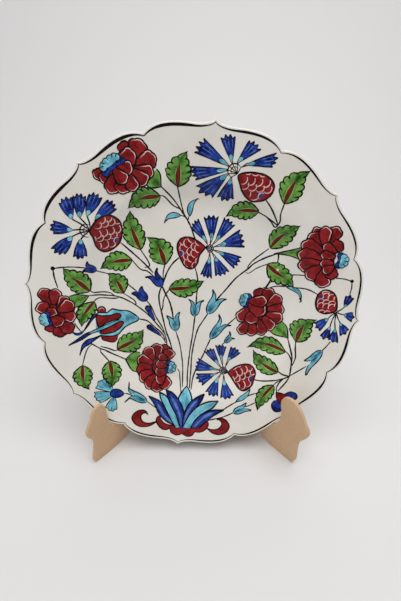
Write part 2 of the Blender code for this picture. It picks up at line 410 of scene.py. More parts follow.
# painting: strokes in the plate's own millimetres, gathered by ink and laid on the glaze
brush = {
    "ground": 0.05,            # lowest stroke above the glaze
    "step": 0.012,             # each later stroke lies this much higher
    "body": 0.16,              # thickness of the laid ink, sunk into the glaze
    "cell": 1.3,               # longest edge of a stroke's mesh
    "line": 1.15,              # usual width of an outline
    "fade": 5.0,               # an open stroke thins out over this length at its ends
    "rows": 0.8,               # spacing of the cross rows along a line
}
inkOrder = ("stem", "line", "red", "blue", "turquoise", "green", "vein", "white", "grey",
            "paleBlue", "paleGreen", "deepTeal", "paleTeal", "deepGreen")
inks = {name: [] for name in inkOrder}


def tracePath(points, closed=False, smooth=True):
    knots = np.array(points, float)
    if smooth and len(knots) > 2:
        if closed:
            ring = np.vstack([knots[-1:], knots, knots[:2]])
        else:
            ring = np.vstack([2 * knots[:1] - knots[1:2], knots, 2 * knots[-1:] - knots[-2:-1]])
        t = np.linspace(0, 1, 10, endpoint=False)[:, None]
        spans = [0.5 * (2 * b + (c - a) * t + (2 * a - 5 * b + 4 * c - d) * t ** 2
                        + (3 * b - a - 3 * c + d) * t ** 3)
                 for a, b, c, d in zip(ring, ring[1:], ring[2:], ring[3:])]
        line = np.vstack(spans + [ring[-2:-1]])
    else:
        line = np.vstack([knots, knots[:1]]) if closed else knots
    steps = np.hypot(*np.diff(line, axis=0).T)
    return line, np.concatenate([[0], np.cumsum(steps)])


def along(path, t):
    line, run = path
    return np.interp(t * run[-1], run, line[:, 0]), np.interp(t * run[-1], run, line[:, 1])


def lengthOf(path):
    return path[1][-1]


def addStroke(ink, shape, columns, rows, level):
    inks[ink].append({"shape": shape, "columns": max(1, int(columns)), "rows": max(1, int(rows)),
                      "level": level})


def ribbon(ink, points, width, level, ends=(0.45, 0.45), closed=False, smooth=True):
    path = tracePath(points, closed, smooth)
    length = max(lengthOf(path), 0.1)
    reach = min(0.45, 0.35 * length) / length

    def shape(s, t):
        x, y = along(path, t)
        before, after = t - reach, t + reach
        if closed:
            before, after = before % 1, after % 1
        else:
            before, after = np.clip(before, 0, 1), np.clip(after, 0, 1)
        (ax, ay), (bx, by) = along(path, before), along(path, after)
        span = np.hypot(bx - ax, by - ay) + 1e-9
        fade = min(brush["fade"], 0.4 * length) / length
        # pressure and sway of the hand
        press = (1 + 0.13 * np.sin(t * length * 0.31 + points[0][0])
                 + 0.07 * np.sin(t * length * 0.83 + points[0][1]))
        if not closed:
            press = press * np.minimum(ends[0] + (1 - ends[0]) * np.clip(t / fade, 0, 1),
                                       ends[1] + (1 - ends[1]) * np.clip((1 - t) / fade, 0, 1))
        sway = 0.1 * np.sin(t * length * 0.23 + points[0][1]) * (0 if closed else 1)
        shift = width * press * (s - 0.5) + sway
        return x + (by - ay) / span * shift, y - (bx - ax) / span * shift

    addStroke(ink, shape, 1, max(5, length / brush["rows"]), level)


def loft(ink, left, right, level, smooth=True):
    a, b = tracePath(left, False, smooth), tracePath(right, False, smooth)
    samples = np.linspace(0, 1, 12)
    (ax, ay), (bx, by) = along(a, samples), along(b, samples)
    gap = np.hypot(bx - ax, by - ay).max()

    def shape(s, t):
        (ax, ay), (bx, by) = along(a, t), along(b, t)
        return ax + (bx - ax) * s, ay + (by - ay) * s

    addStroke(ink, shape, np.ceil(gap / brush["cell"]), np.ceil(max(lengthOf(a),
                                                                    lengthOf(b)) / brush["cell"]), level)


def fan(ink, outline, level, centre=None, smooth=False):
    path = tracePath(outline, True, smooth)
    cx, cy = np.mean(path[0], axis=0) if centre is None else centre
    reach = np.hypot(path[0][:, 0] - cx, path[0][:, 1] - cy).max()

    def shape(s, t):
        x, y = along(path, s)
        return cx + (x - cx) * t, cy + (y - cy) * t

    addStroke(ink, shape, max(8, lengthOf(path) / 1.0), np.ceil(reach / 1.5), level)


def ringPoints(centre, radius, start=0, end=360, steps=16):
    angles = np.radians(np.linspace(start, end, steps + 1))
    return [(centre[0] + radius * cos(a), centre[1] + radius * sin(a)) for a in angles]


def disc(ink, centre, radius, level, outline=None):
    points = ringPoints(centre, radius)[:-1]
    fan(ink, points, level, centre)
    if outline:
        ribbon("line", points, outline, level + 1, closed=True, smooth=False)


def drawnPatch(ink, outline, level, width, lift=1):
    fan(ink, outline, level, smooth=True)
    ribbon("line", outline, width, level + lift, closed=True)


def axisFrame(start, end):
    start, end = np.array(start, float), np.array(end, float)
    length = np.hypot(*(end - start))
    ahead = (end - start) / length
    return start, ahead, np.array((ahead[1], -ahead[0])), length


def onAxis(start, end, points, wide):
    # points as (share of the way, share of the width, right of the way positive)
    origin, ahead, side, length = axisFrame(start, end)
    return [tuple(origin + ahead * a * length + side * b * wide) for a, b in points]


# petal of a carnation: narrow root, scalloped head, pale gleam just inside the edge
def petal(root, tip, width, level, scallops=3, gleam="arc"):
    def head(u, scale=1.0):
        phi = radians(-104 + 208 * u)
        swell = 0.87 + 0.13 * abs(sin(scallops * pi * u)) ** 0.6
        return 0.64 + 0.36 * cos(phi) * swell * scale, 0.5 * sin(phi) * swell * scale

    steps = scallops * 6
    left = [(0.0, -0.14), (0.2, -0.27), (0.42, -0.42)]
    cap = [head(i / steps) for i in range(steps + 1)]
    outline = left + cap + [(a, -b) for a, b in reversed(left)]
    shape = onAxis(root, tip, outline, width)
    centre = onAxis(root, tip, [(0.58, 0.0)], width)[0]
    fan("red", shape, level, centre)
    ribbon("line", shape, brush["line"], level + 1, closed=True, smooth=False)
    starts, ends = {"arc": (0.2, 0.8), "left": (0.0, 0.72), "right": (0.28, 1.0), "all": (0.0, 1.0),
                    "none": (0.5, 0.5)}[gleam]
    if gleam == "none":
        return
    rim = [head(starts + (ends - starts) * i / 18, 0.85) for i in range(19)]
    if gleam in ("left", "all"):
        rim = [(0.3, -0.23)] + rim
    if gleam in ("right", "all"):
        rim = rim + [(0.3, 0.23)]
    ribbon("white", onAxis(root, tip, rim, width), 0.7, level + 1, ends=(0.1, 0.1), smooth=False)


def tuft(heart, aim, level, wide=3.9):
    # scalloped cup on a carnation: a blue frill at the petals, a turquoise row beyond it
    origin, ahead, side, length = axisFrame(heart, aim)
    count = 4 if wide < 6 else 6
    frills = (("blue", 0.1, 1.3, 2.7, 1.1), ("turquoise", 0.58, 2.3, 2.7, 0.9))
    for ink, away, reach, radius, spread in frills:
        centre = origin + ahead * length * away
        turns = [radians(-88 + 176 * k / (count - 1)) for k in range(count)]
        spots = [tuple(centre + ahead * reach * cos(turn) + side * wide * spread * sin(turn))
                 for turn in turns]
        core = [tuple(centre + ahead * (reach - 0.2) * cos(turn) + side * wide * spread * sin(turn))
                for turn in np.linspace(-pi, pi, 16, endpoint=False)]
        for spot in spots:
            fan("line", ringPoints(spot, radius + 0.45)[:-1], level, spot)
        fan("line", [tuple(centre + (np.array(spot) - centre) * 1.25) for spot in core], level, tuple(centre))
        for spot in spots:
            fan(ink, ringPoints(spot, radius - 0.3)[:-1], level + 1, spot)
        fan(ink, core, level + 1, tuple(centre))
        for first, second in zip(spots, spots[1:]):
            notch = (np.array(first) + np.array(second)) / 2
            inward = (centre - ahead * 2.0 - notch) / hypot(*(centre - ahead * 2.0 - notch))
            ribbon("line", [tuple(notch - inward * 2.4), tuple(notch + inward * 0.7)], 0.7, level + 2,
                   ends=(0.9, 0.1))
        level += 4


def cup(edge, point, belly=0.16, level=4):
    # green calyx: from the flower's edge to the point where the stem joins
    left, right = np.array(edge[0], float), np.array(edge[1], float)
    tip = np.array(point, float)
    out = (left - right) * belly
    a = [tuple(left), tuple((left * 0.55 + tip * 0.45) + out), tuple(tip)]
    b = [tuple(right), tuple((right * 0.55 + tip * 0.45) - out), tuple(tip)]
    loft("green", a, b, level)
    for side in (a, b):
        ribbon("line", side, brush["line"], level + 1, ends=(0.7, 0.8))


carnations = (
    {"tuft": ((-76.5, 104.5), (-82.5, 111), 7.6), "cup": (((-43, 108), (-51, 95)), (-38.5, 94)),
     "petals": (((-84, 103), (-92, 95), 10, "arc"), ((-66, 112), (-70, 125.5), 12, "none"),
                ((-62, 112), (-57, 128.5), 16, "arc"), ((-60, 109), (-44, 117), 15, "left"),
                ((-61, 106), (-45, 103.5), 13, "left"), ((-62, 105), (-51, 94), 15, "left"),
                ((-79, 104), (-86, 92), 11, "arc"), ((-74, 102), (-80, 84), 13, "left"),
                ((-69, 102), (-70, 85), 14, "left"), ((-66, 103), (-60, 88), 12, "left"),
                ((-75, 110), (-60, 117), 15, "left"), ((-77, 107), (-62, 104), 14, "left"),
                ((-77, 104), (-67, 94), 12, "left"))},
    {"tuft": ((119.5, 51.5), (125, 51.5)), "cup": (((91, 61), (90, 46.5)), (66, 48), -0.1),
     "petals": (((104, 62), (94, 77), 10, "arc"), ((108, 62), (112, 80), 13, "arc"),
                ((110, 58), (119, 67), 12, "none"), ((104, 60), (91, 71), 14, "left"),
                ((106, 56), (86, 62), 14, "arc"), ((106, 51), (85, 52), 14, "left"),
                ((106, 47), (88, 41), 14, "left"), ((108, 45), (97, 31), 14, "arc"),
                ((110, 43), (111, 25), 14, "left"), ((114, 46), (118, 34), 11, "none"),
                ((106, 61), (102, 79), 11, "right"), ((116, 58), (104, 63), 9, "arc"),
                ((116, 54), (104, 54.5), 9, "left"), ((116, 49), (105, 46), 9, "arc"),
                ((117, 46), (109, 39), 9, "arc"))},
    {"tuft": ((-128.5, -31.5), (-134, -33)), "cup": (((-112, -9.5), (-107, -20)), (-96, -9)),
     "petals": (((-127, -18), (-135, -3.5), 12, "arc"), ((-125, -18), (-123, -3), 11, "right"),
                ((-121, -22), (-113, -10), 12, "left"), ((-126, -36), (-127, -44), 11, "none"),
                ((-120, -34), (-118, -48.5), 13, "none"), ((-119, -31), (-109, -44), 13, "none"),
                ((-120, -28), (-105.5, -28), 13, "right"), ((-121, -24), (-108, -15), 13, "left"),
                ((-128, -28), (-137, -17), 13, "left"), ((-126, -29), (-117, -37), 13, "arc"),
                ((-130, -30), (-124, -21.5), 10, "right"))},
    {"tuft": ((49.5, 1.5), (44.5, 2.5)), "cup": (((85, -15), (75, -26)), (92.5, -29)),
     "petals": (((60, 0), (60, 15), 13, "none"), ((64, 0), (70, 16), 13, "arc"),
                ((68, -1), (80.5, 9), 13, "left"), ((69, -4), (85, -4), 13, "arc"),
                ((69, -9), (85, -14), 13, "left"), ((67, -12), (77, -25), 13, "left"),
                ((63, -16), (69, -31), 11, "right"), ((57, -18), (58, -33), 12, "right"),
                ((52, -18), (47.5, -32.5), 11, "right"), ((53, -4), (44, -19.5), 13, "right"),
                ((56, -6), (56, -21), 14, "arc"), ((50, -1), (68, -9), 15, "left"),
                ((50, 2), (68, 2.5), 12, "left"))},
    {"tuft": ((-18, -75), (-12.5, -75.5)), "cup": (((-46, -63), (-47, -82)), (-59.5, -70.5)),
     "petals": (((-24, -66), (-22.5, -51.5), 12, "none"), ((-28, -66), (-32, -52), 13, "right"),
                ((-32, -69), (-41, -57), 13, "right"), ((-33, -73), (-48.5, -70), 14, "right"),
                ((-33, -78), (-48, -80), 13, "none"), ((-32, -81), (-43.5, -89), 13, "arc"),
                ((-29, -84), (-36, -96), 13, "arc"), ((-26, -86), (-26, -99), 13, "arc"),
                ((-22, -84), (-16.5, -96), 12, "left"), ((-20, -68), (-17, -56), 12, "right"),
                ((-20, -84), (-27, -91), 11, "right"), ((-17, -79), (-30, -82), 11, "right"),
                ((-17, -73), (-30, -72.5), 11, "right"), ((-19, -67), (-28, -64), 9, "arc"))},
)


def paintCarnations():
    for flower in carnations:
        cup(*flower["cup"], level=4)
        level = 6
        heads = [tuple(np.array(root) * 0.35 + np.array(tip) * 0.65)
                 for root, tip, width, gleam in flower["petals"]]
        middle = np.mean(heads, axis=0)
        heads = [spot for spot in heads if hypot(*(np.array(spot) - middle)) > 8]
        heads.sort(key=lambda spot: np.arctan2(spot[1] - middle[1], spot[0] - middle[0]))
        fan("red", heads, level)
        level += 1
        for count, (root, tip, width, gleam) in enumerate(flower["petals"]):
            petal(root, tip, width, level + 2 * count, gleam=gleam)
        heart, aim, *wide = flower["tuft"]
        tuft(heart, aim, level + 2 * len(flower["petals"]) + 2, *wide)


# cornflower: toothed petals on thin stalks round a small hub, and a scaled bud
def cornPetal(point, base, tips, level, half=1.25, teeth=4, ink="blue", hub=None, ring=0.0,
              depth=0.15, belly=0.04):
    start = np.array(base, float)
    side, length = axisFrame(base, np.mean(tips, axis=0))[2:]
    crest = tracePath(tips)
    edge = []
    for k in range(2 * teeth - 1):
        spot = np.array(along(crest, np.array(k / (2 * teeth - 2))))
        edge.append(spot + (start - spot) * (depth if k % 2 else 0.0))
    if np.dot(edge[0] - start, side) > np.dot(edge[-1] - start, side):
        edge.reverse()
    left, right = start - side * half, start + side * half
    rim = tracePath(edge, False, False)

    def blade(s, t, reach):
        ex, ey = reach(s)
        bx, by = left[0] + (right[0] - left[0]) * s, left[1] + (right[1] - left[1]) * s
        bow = belly * length * np.sin(pi * t) * (2 * s - 1)
        return bx + (ex - bx) * t + side[0] * bow, by + (ey - by) * t + side[1] * bow

    def toothed(s, t):
        return blade(s, t, lambda share: along(rim, share))

    def chord(share):
        (fromX, fromY), (toX, toY) = edge[0], edge[-1]
        return fromX + (toX - fromX) * share, fromY + (toY - fromY) * share

    def cupped(s, t):
        # small pale patch with a rounded top
        return blade(0.1 + 0.8 * s, (0.17 + 0.12 * np.sin(pi * s)) * t, chord)

    addStroke(ink, toothed, 4 * (teeth - 1), np.ceil(length / brush["cell"]), level)
    if ink == "blue":
        addStroke("turquoise", cupped, 6, 4, level + 1)
        crown = list(zip(*cupped(np.linspace(0, 1, 7), np.ones(7))))
        ribbon("line", crown, 0.45, level + 2, ends=(0.6, 0.6))
    ts = np.linspace(0, 1, 8)
    sides = [list(zip(*toothed(np.full(8, s), ts))) for s in (0.0, 1.0)]
    outline = sides[0] + [tuple(spot) for spot in edge[1:-1]] + sides[1][::-1]
    ribbon("line", outline, 0.85, level + 2, smooth=False)
    # short strokes from the notches towards the root
    for k in range(1, 2 * teeth - 2, 2):
        share = k / (2 * teeth - 2)
        vein = list(zip(*toothed(np.full(4, share), np.linspace(0.96, 0.55, 4))))
        ribbon("paleBlue" if ink == "blue" else "deepTeal", vein, 0.65, level + 1, ends=(1.0, 0.1))
    if hub is not None:
        joint = np.array(hub, float) + (start - hub) * ring / hypot(*(start - hub))
        ribbon("line", [point, tuple(joint)], 0.75, level, ends=(0.9, 0.9))
        for corner in (left, right):
            ribbon("line", [tuple(joint), tuple(corner)], 0.75, level, ends=(0.7, 1.0), smooth=False)
    elif point is not None:
        bend = (np.array(point, float) + start) / 2 + side * 0.05 * length
        ribbon("line", [point, tuple(bend), tuple(start)], 1.1, level, ends=(0.7, 1.1))


def insideOf(outline, spot):
    corners = np.array(outline, float)
    after = np.roll(corners, -1, axis=0)
    crosses = (corners[:, 1] > spot[1]) != (after[:, 1] > spot[1])
    rise = np.where(after[:, 1] == corners[:, 1], 1e-9, after[:, 1] - corners[:, 1])
    reach = corners[:, 0] + (spot[1] - corners[:, 1]) * (after[:, 0] - corners[:, 0]) / rise
    return np.count_nonzero(crosses & (reach > spot[0])) % 2 == 1


def scaledBud(point, outline, base, level, scale=1.0):
    # berry-like bud: pale scale marks in staggered rows, a blue patch where the stem joins
    drawnPatch("red", outline, level, 1.3, lift=4)
    origin, ahead, side, length = axisFrame(point, base)
    back = degrees(np.arctan2(ahead[1], ahead[0]))
    for row, share in enumerate((0.2, 0.4, 0.6, 0.8, 1.0)):
        for place in np.arange(-2.5, 3, 1) if row % 2 else np.arange(-2, 3, 1):
            sway = 0.6 * sin(7 * share + 3 * place)
            forward = length * share - 0.5 * abs(place) + sway
            spot = origin + ahead * forward + side * (place * 6.9 + sway) * scale
            if hypot(*(spot - np.array(base, float))) < 4.6 * scale:
                continue
            arc = ringPoints(spot, (3.8 + 0.4 * sway) * scale, back - 96 + 14 * sway, back + 66, steps=7)
            arc = [mark for mark in arc if insideOf(outline, mark)]
            if len(arc) > 3:
                ribbon("white", arc, 0.75, level + 1, ends=(0.1, 0.8))
    patch = ringPoints(base, 2.9 * scale, back + 90, back + 270, steps=8)
    fan("blue", patch, level + 2)
    ribbon("white", patch, 0.8, level + 3, ends=(0.4, 0.4))
    rim = ringPoints(base, 3.5 * scale, back + 95, back + 265, steps=8)
    ribbon("line", rim, 0.7, level + 3, ends=(0.4, 0.4))


cornflowers = (
    {"hub": (20, 114), "ring": 5.4, "single": False,
     "petals": (((13, 118), ((-8, 135), (-12.5, 130.5), (-14, 124))),
                ((16.5, 121), ((5.5, 137), (10, 140.5), (16.5, 139))),
                ((22, 121), ((28, 137.5), (33.5, 137), (38, 132))),
                ((30, 120), ((51, 131), (53, 126), (50, 120))),
                ((13, 113.5), ((-16, 113), (-16, 108), (-11, 103))),
                ((14, 110), ((-10, 98), (-6, 92), (5, 90))), ((18, 107), ((9, 91), (15, 88), (23, 91)))),
     "bud": ((23, 112), ((24, 111), (33, 114), (45, 113.5), (53, 108), (54, 101), (50, 95), (44, 92),
                         (37, 91.5), (30, 97), (25.5, 105)), (45.5, 96.5))},
    {"hub": (-98, 51), "ring": 5.6, "single": True,
     "petals": (((-110, 60), ((-120, 72), (-117, 77), (-110, 78))),
                ((-104, 62), ((-109, 79), (-104, 82), (-99, 80))),
                ((-98, 64), ((-96, 82), (-91, 84), (-86, 80))),
                ((-91, 62), ((-81, 79), (-76, 78), (-74, 72))),
                ((-110, 50.5), ((-125, 57), (-128, 51), (-125, 46))),
                ((-110, 45), ((-127, 33), (-123, 28), (-116, 29))),
                ((-103, 43), ((-109, 27), (-104, 25), (-98, 28)))),
     "bud": ((-95.5, 51), ((-95.5, 51.5), (-89, 62), (-80, 66), (-72.5, 62), (-70, 53), (-72, 42),
                           (-79, 34.5), (-86, 33), (-91, 38), (-93, 45)), (-74, 43.5))},
    {"hub": (8, 46), "ring": 3.6, "single": False,
     "petals": (((4, 53), ((-11, 63), (-9, 68), (-5, 71))), ((9, 55), ((0, 73), (6, 75.5), (12.5, 75))),
                ((13.5, 54), ((18, 75), (23.5, 73.5), (28, 69.5))),
                ((17, 50), ((33, 66), (37, 60), (39.5, 51))),
                ((17, 44), ((38, 41.5), (37, 36), (33, 30.5))),
                ((14, 39), ((28.5, 27), (24, 22.5), (17, 21.5))),
                ((9.5, 37), ((3, 21), (8, 18.8), (13.5, 18.8)))),
     "bud": ((4, 46.5), ((4, 46.5), (-3, 51.5), (-11, 54), (-18, 52), (-20.6, 46), (-19.7, 40), (-17, 34.5),
                         (-13, 28.5), (-8, 25.5), (-3.5, 27), (-0.8, 32), (0, 39)), (-17, 38.5))},
    {"hub": (37, -73), "ring": 4.0, "single": False,
     "petals": (((28, -72.5), ((10.5, -62.5), (8.5, -70), (9, -76))),
                ((30.5, -66), ((15, -54), (20, -51), (24, -50.5))),
                ((33, -60), ((25.5, -46.5), (31.5, -45.5), (36, -47))),
                ((40, -61), ((40.8, -46.5), (47, -47.5), (51, -52))),
                ((28.5, -78), ((10.5, -79.7), (11.5, -85.5), (17.5, -90.5))),
                ((32, -82.5), ((21.5, -95), (27, -98), (34, -97))),
                ((38.5, -83), ((36.7, -98), (44, -98), (49.4, -93.5)))),
     "bud": ((42, -74.3), ((42, -74.3), (46, -69), (51, -65.5), (58, -63), (64, -64), (67.4, -69),
                           (66.5, -75), (65.5, -80), (61, -85.5), (55.5, -87.2), (50, -83.5),
                           (45.5, -78.5)), (64.5, -75.5))},
)


def paintCornflowers():
    for flower in cornflowers:
        hub, ring, point = flower["hub"], flower["ring"], flower["bud"][0]
        back = degrees(np.arctan2(point[1] - hub[1], point[0] - hub[0]))
        for base, tips in flower["petals"]:
            if flower["single"]:
                cornPetal(point, base, tips, 4, half=0.8, belly=0.07)
            else:
                cornPetal(point, base, tips, 4, half=0.85, hub=hub, ring=ring, belly=0.01)
        if ring < 5:
            disc("grey", hub, ring * 0.8, 3)
        ribbon("line", ringPoints(hub, ring, back + 70, back + 290), 0.95, 9)
        ribbon("line", ringPoints(hub, ring * 0.55, back + 80, back + 280, steps=8), 0.8, 9)
        scaledBud(*flower["bud"], 10)
    # the small one near the right edge
    hub = (128, 4.5)
    small = (
        ((134, 11), ((132.5, 21), (136, 23), (139.5, 20))),
        ((135, 3.5), ((141.5, 7), (144, 3), (142.5, -2))),
        ((122.5, -2.7), ((111.4, -9), (113.8, -13.8), (117.4, -15.8))),
        ((125.7, -10.5), ((119, -20.2), (121.7, -23.3), (126.1, -21))),
        ((130.5, -11.4), ((126.5, -22.5), (131.3, -24.5), (135.2, -23.7))),
        ((133.7, -5), ((136, -17), (140, -14.6), (142, -9.8))),
    )
    for base, tips in small:
        cornPetal(hub, base, tips, 4, half=0.7, teeth=3)
    ribbon("line", ringPoints(hub, 2.2, 0, 300, steps=8), 0.7, 8)
    scaledBud((127, 5), ((127.3, 6), (127, 13), (124, 20), (118, 23.5), (112, 22), (109, 16), (109.5, 8),
                         (112.5, 3), (118, 1.5), (123, 3)), (112, 17), 10, scale=0.85)


# leaf: scalloped edge, tip drawn out into a curl, red midrib
def leaf(base, tip, width, bend=0.0, curl=0.1, level=6, lobes=6):
    origin, ahead, side, length = axisFrame(base, tip)
    length *= 1.04

    def spine(t):
        sway = (bend * np.sin(pi * t) + 1.5 * curl * np.clip((t - 0.66) / 0.34, 0, 1) ** 2) * length
        return (origin[0] + ahead[0] * length * t + side[0] * sway,
                origin[1] + ahead[1] * length * t + side[1] * sway)

    def half(t):
        grow = np.sin(pi / 2 * np.clip(t / 0.38, 0, 1)) ** 0.6
        shrink = np.cos(pi / 2 * np.clip((t - 0.38) / 0.62, 0, 1)) ** 1.12
        frill = 0.85 + 0.2 * np.abs(np.sin(lobes * pi * t ** 0.9)) ** 0.7
        return width / 2 * grow * shrink * frill + 0.25 * (1 - t)

    def edge(t, hand):
        x, y = spine(t)
        reach = hand * half(t)
        # scallops lean towards the tip
        push = 0.032 * length * np.abs(np.sin(lobes * pi * t ** 0.9)) * np.clip((0.9 - t) / 0.15, 0, 1)
        return x + side[0] * reach + ahead[0] * push, y + side[1] * reach + ahead[1] * push

    def shape(s, t):
        (ax, ay), (bx, by) = edge(t, -1.0), edge(t, 1.0)
        return ax + (bx - ax) * s, ay + (by - ay) * s

    addStroke("green", shape, np.ceil(width / brush["cell"]), np.ceil(length / 0.6), level)
    t = np.linspace(0, 1, 56)
    for hand, thick in ((-1.0, 1.0), (1.0, 1.25)):
        ribbon("line", list(zip(*edge(t, hand))), thick, level + 2, ends=(0.8, 0.35), smooth=False)
        for k in range(1, lobes):
            # the brush runs a little inwards from each notch
            notch = (k / lobes) ** (1 / 0.9)
            x, y = edge(np.array(notch), hand)
            sx, sy = spine(np.array(max(notch - 0.14, 0.02)))
            touch = [(float(x + (sx - x) * share), float(y + (sy - y) * share))
                     for share in (-0.03, 0.1, 0.3)]
            ribbon("deepGreen", touch, 1.6, level + 1, ends=(1.0, 0.1))
            ribbon("line", touch[:2], 0.75, level + 2, ends=(1.0, 0.1))
    ribs = np.linspace(0.0, 0.64, 12)
    x, y = spine(ribs)
    swell = np.sin(pi * np.clip(ribs / 0.64, 0, 1) ** 0.8) * width * 0.085 + 0.15
    for name, grow, lift in (("paleGreen", 0.9, 1), ("vein", 0.0, 2)):
        reach = swell + grow * np.sin(pi * ribs / 0.64)
        left = list(zip(x - side[0] * reach, y - side[1] * reach))
        right = list(zip(x + side[0] * reach, y + side[1] * reach))
        loft(name, left, right, level + lift, smooth=False)
    for rib in (left, right):
        ribbon("line", rib, 0.4, level + 3, ends=(0.6, 0.3), smooth=False)
    ribbon("line", [tuple(spine(share)) for share in (0.9, 0.95, 1.0, 1.03)], 0.8, level + 3, ends=(0.3, 0.2))


leaves = (
    ((-25, 96), (-23, 123), 20, -0.04, 0.08), ((-39, 86.5), (-65, 77), 17, 0.05, -0.08),
    ((46, 83.5), (19.5, 79), 15, 0.05, -0.08), ((65, 93), (75, 121), 19, -0.05, 0.1),
    ((-60, 27.5), (-87, 19), 17, 0.05, -0.05), ((-53, 38), (-65, 69), 18, -0.05, 0.04),
    ((-30, 27), (-43, 51), 21, 0.05, -0.12), ((-24, 4), (6, 13), 17, 0.04, -0.05),
    ((-95.6, -5), (-118, 13.5), 18, 0.05, 0.06), ((-66, -4.5), (-78.5, 13.5), 17, 0.05, -0.08),
    ((-92, -15), (-102, -36), 14, 0.05, -0.06), ((-68, -61), (-44, -42), 19, 0.05, -0.06),
    ((-97.7, -76), (-93, -99), 17, 0.05, -0.08), ((-73.7, -71), (-69, -96), 17, -0.05, 0.06),
    ((62, 53), (80, 76), 17, -0.05, 0.03), ((62, 38), (90, 24), 17, 0.06, 0.1),
    ((99, -30), (108, -5), 18, -0.06, 0.12), ((91.5, -42.4), (58, -41), 15, 0.06, -0.08),
    ((87.6, -63), (62, -52), 14.5, -0.07, 0.1), ((85.4, -76.5), (72, -102), 13, 0.04, -0.06),
)


# bell: two lobes that curl outwards from a narrow foot
def bell(ink, base, tipA, tipB, width, notch=0.66, level=6):
    middle = tuple((np.array(tipA, float) + np.array(tipB, float)) / 2)
    origin, ahead, side, length = axisFrame(base, middle)
    for tip in (tipA, tipB):
        hand = 1 if np.dot(np.array(tip, float) - origin, side) > 0 else -1
        rise = np.dot(np.array(tip, float) - origin, ahead)

        def at(a, b, hand=hand, rise=rise):
            return tuple(origin + ahead * a * rise + side * hand * b * width)

        outer = [at(0, 0.1), at(0.16, 0.38), at(0.42, 0.5), at(0.68, 0.5), at(0.88, 0.62), tuple(tip)]
        inner = [at(0, 0), at(0.3 * notch, 0), at(0.7 * notch, 0), at(notch, 0.04),
                 at((notch + 1) / 2 + 0.03, 0.3), tuple(tip)]
        loft(ink, outer, inner, level)
        ribbon("line", outer, 1.05, level + 2, ends=(0.8, 0.9))
        ribbon("line", inner[3:], 0.9, level + 2, ends=(0.7, 1.0))
        ribbon("line", [outer[-2], tuple(tip)], 1.5, level + 3, ends=(0.3, 0.5))
        if ink == "turquoise":
            ribbon("deepTeal", [at(0.08, 0.05), at(0.35, 0.12), at(0.6, 0.14)], width * 0.12, level + 1,
                   ends=(0.5, 0.1))
    ribbon("line", [tuple(origin + ahead * share * length) for share in (0.12, 0.4, notch)], 0.7,
           level + 2, ends=(0.2, 1.0))


bells = (
    ("turquoise", (-14, -36.2), (-12.5, -17), (-24, -22), 9.4),
    ("turquoise", (1.9, -19.5), (-5.3, -3.4), (9.1, -2.8), 8.4),
    ("turquoise", (14.4, -15.4), (15.9, 8.5), (30, 0.8), 9.8),
    ("turquoise", (20.1, -40.4), (24.8, -15), (38, -24.8), 8.4),
    ("turquoise", (34.1, -43), (37.3, -31), (43.4, -38), 5),
    ("turquoise", (123.3, -34), (109.5, -47.3), (113, -61), 8),
    ("turquoise", (51, -110.5), (62.5, -98.5), (68, -105), 7),
    ("turquoise", (-34.6, -108.7), (-53.5, -90.5), (-56, -111), 8),
    ("blue", (-31, 6.2), (-36.8, 23), (-47, 13), 9),
    ("blue", (-43.9, -9.5), (-49.5, 4), (-58.5, -4), 9, 0.84),
    ("blue", (-91, 14.5), (-98, 23.5), (-102, 13), 7, 0.84),
)
trumpets = (((-34.8, -28.3), (-43, -15.5), 4.8), ((-27.7, -43), (-40.5, -34.6), 4.6))


def trumpet(base, tip, width, level=6):
    origin, ahead, side, length = axisFrame(base, tip)
    profile = ((0, 0.12), (0.3, 0.3), (0.65, 0.42), (0.9, 0.5), (1.0, 0.42))
    left, right = ([tuple(origin + ahead * a * length + side * hand * b * width) for a, b in profile]
                   for hand in (-1, 1))
    loft("blue", left, right, level)
    for rim in (left, right):
        ribbon("line", rim, 0.95, level + 1, ends=(0.8, 1.0))
    ribbon("line", [left[-1], tuple(origin + ahead * (length + 0.8)), right[-1]], 1.7, level + 2,
           ends=(0.8, 0.8))


# plain pointed blade with a dark hooked tail
def blade(ink, base, tip, width, bend=0.0, level=6, hook=0.0):
    origin, ahead, side, length = axisFrame(base, tip)
    shares = np.linspace(0, 1, 9)
    swell = np.sin(pi * shares ** 0.85) ** 0.8 * width / 2
    sway = bend * length * np.sin(pi * shares) + hook * np.clip((shares - 0.6) / 0.4, 0, 1) ** 2
    points = [[tuple(origin + ahead * length * a + side * (b + hand * c))
               for a, b, c in zip(shares, sway, swell)] for hand in (-1, 1)]
    loft(ink, points[0], points[1], level)
    for edge in points:
        ribbon("line", edge, 0.85, level + 1, ends=(0.8, 0.8))
    if hook:
        end = origin + ahead * length + side * hook
        ribbon("line", [tuple(end - ahead * 2.4 - side * hook * 0.35), tuple(end),
                        tuple(end + side * hook * 0.7)], 1.2, level + 2, ends=(1.0, 0.2))


def drawnShape(ink, left, right, level, outline=1.1):
    loft(ink, left, right, level)
    for edge in (left, right):
        ribbon("line", edge, outline, level + 1, ends=(0.9, 0.9))


